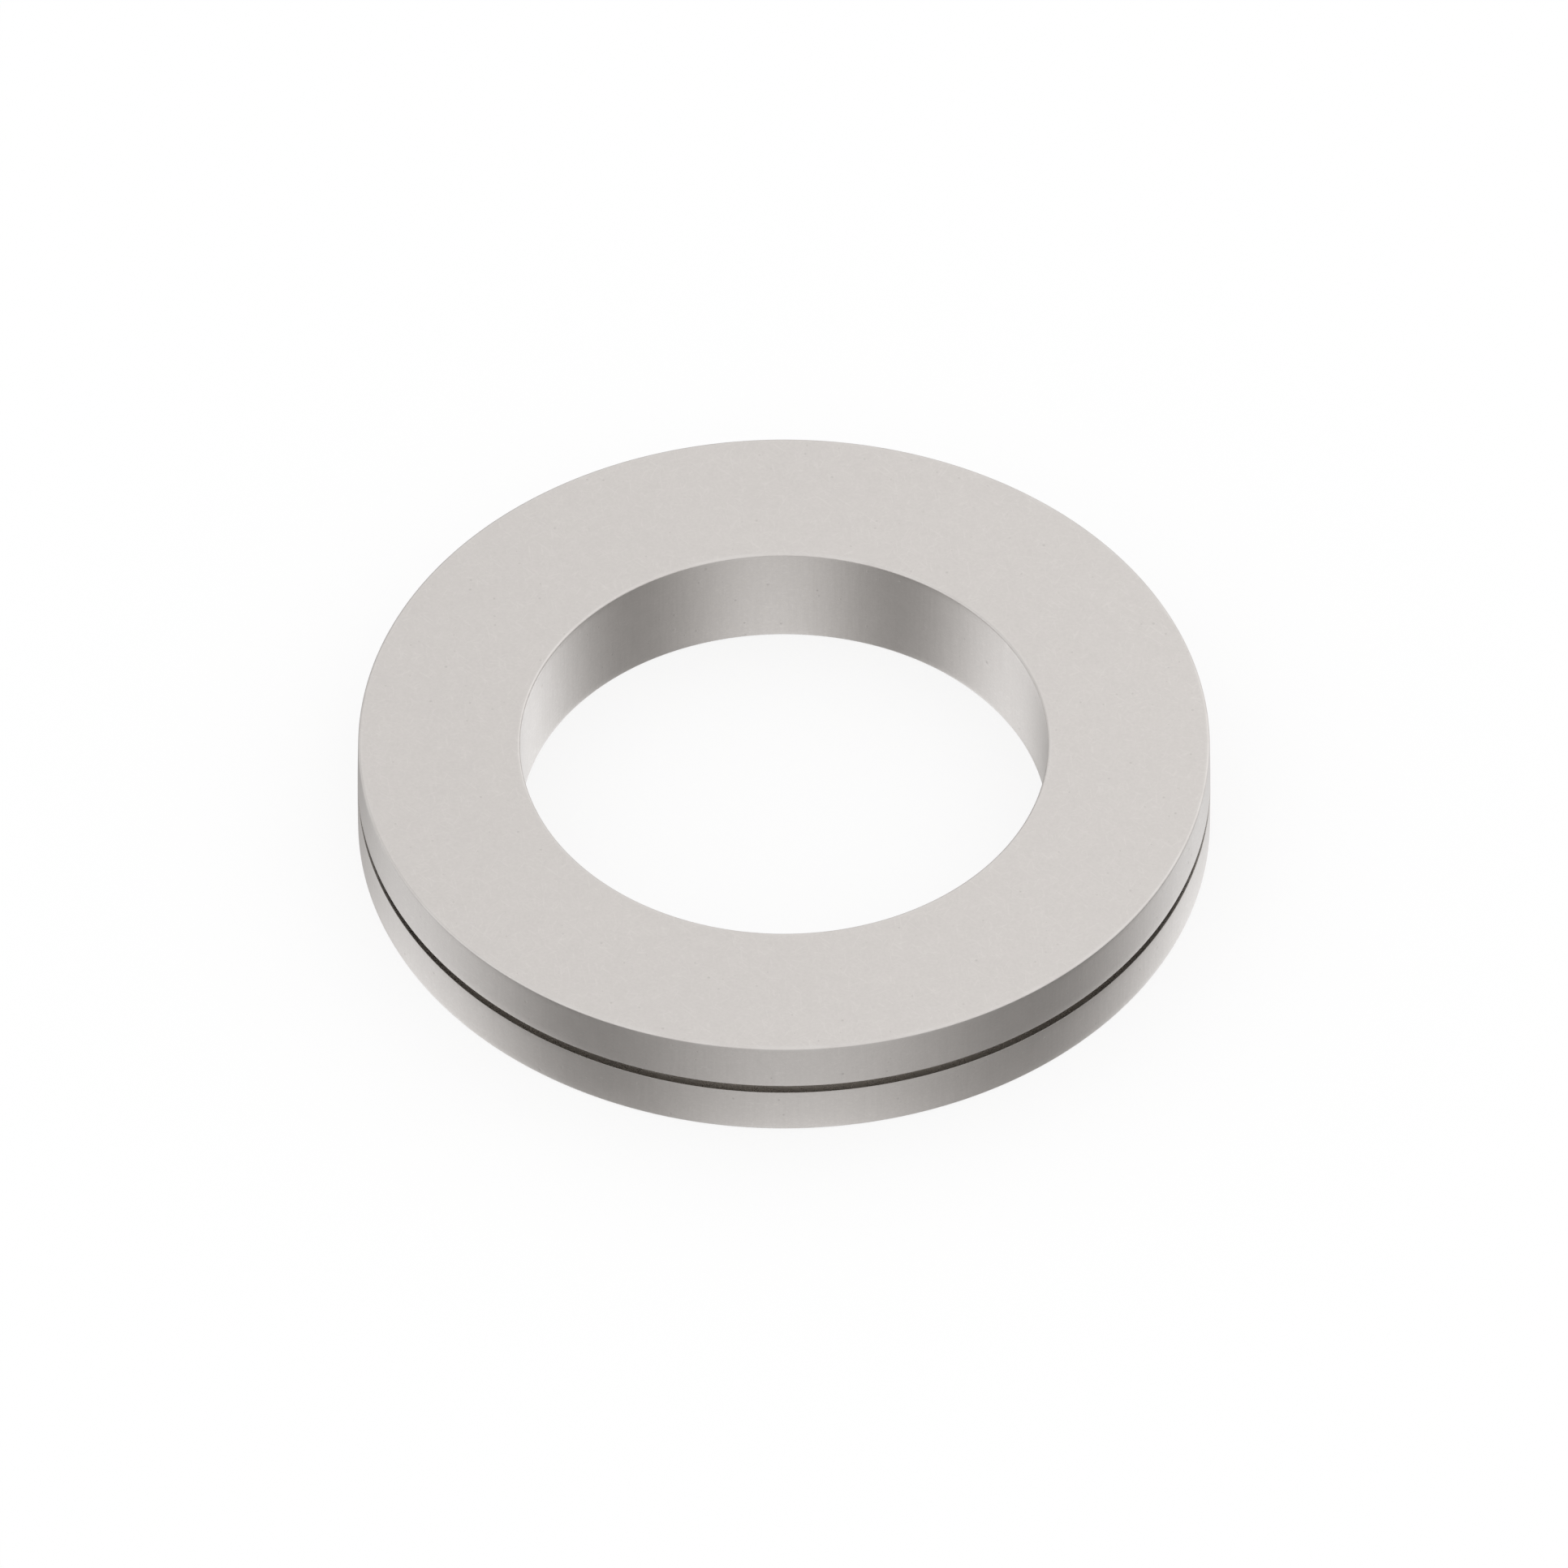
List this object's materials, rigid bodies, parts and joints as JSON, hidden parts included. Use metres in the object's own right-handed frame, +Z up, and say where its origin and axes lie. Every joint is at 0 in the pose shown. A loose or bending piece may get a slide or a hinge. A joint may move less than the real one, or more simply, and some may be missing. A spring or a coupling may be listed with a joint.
{
  "type": "wedge lock washer",
  "caption": "Wedge lock washer: a bonded pair of plain flat steel rings with mating ramps between them that stop a bolt working loose.",
  "frame": {"origin": "centre of the bore, on the bottom face", "axes": "+Z up along the bore's axis, from the bottom face to the top face; +X and +Y lie in the bottom face, with +X along the middle of one ramp"},
  "size_m": [0.017, 0.017, 0.0023],
  "materials": {
    "steel": "smooth matt, as barrel polished"
  },
  "bodies": {
    "root": {"lower_washer": "steel", "upper_washer": "steel"}
  },
  "joints": []
}
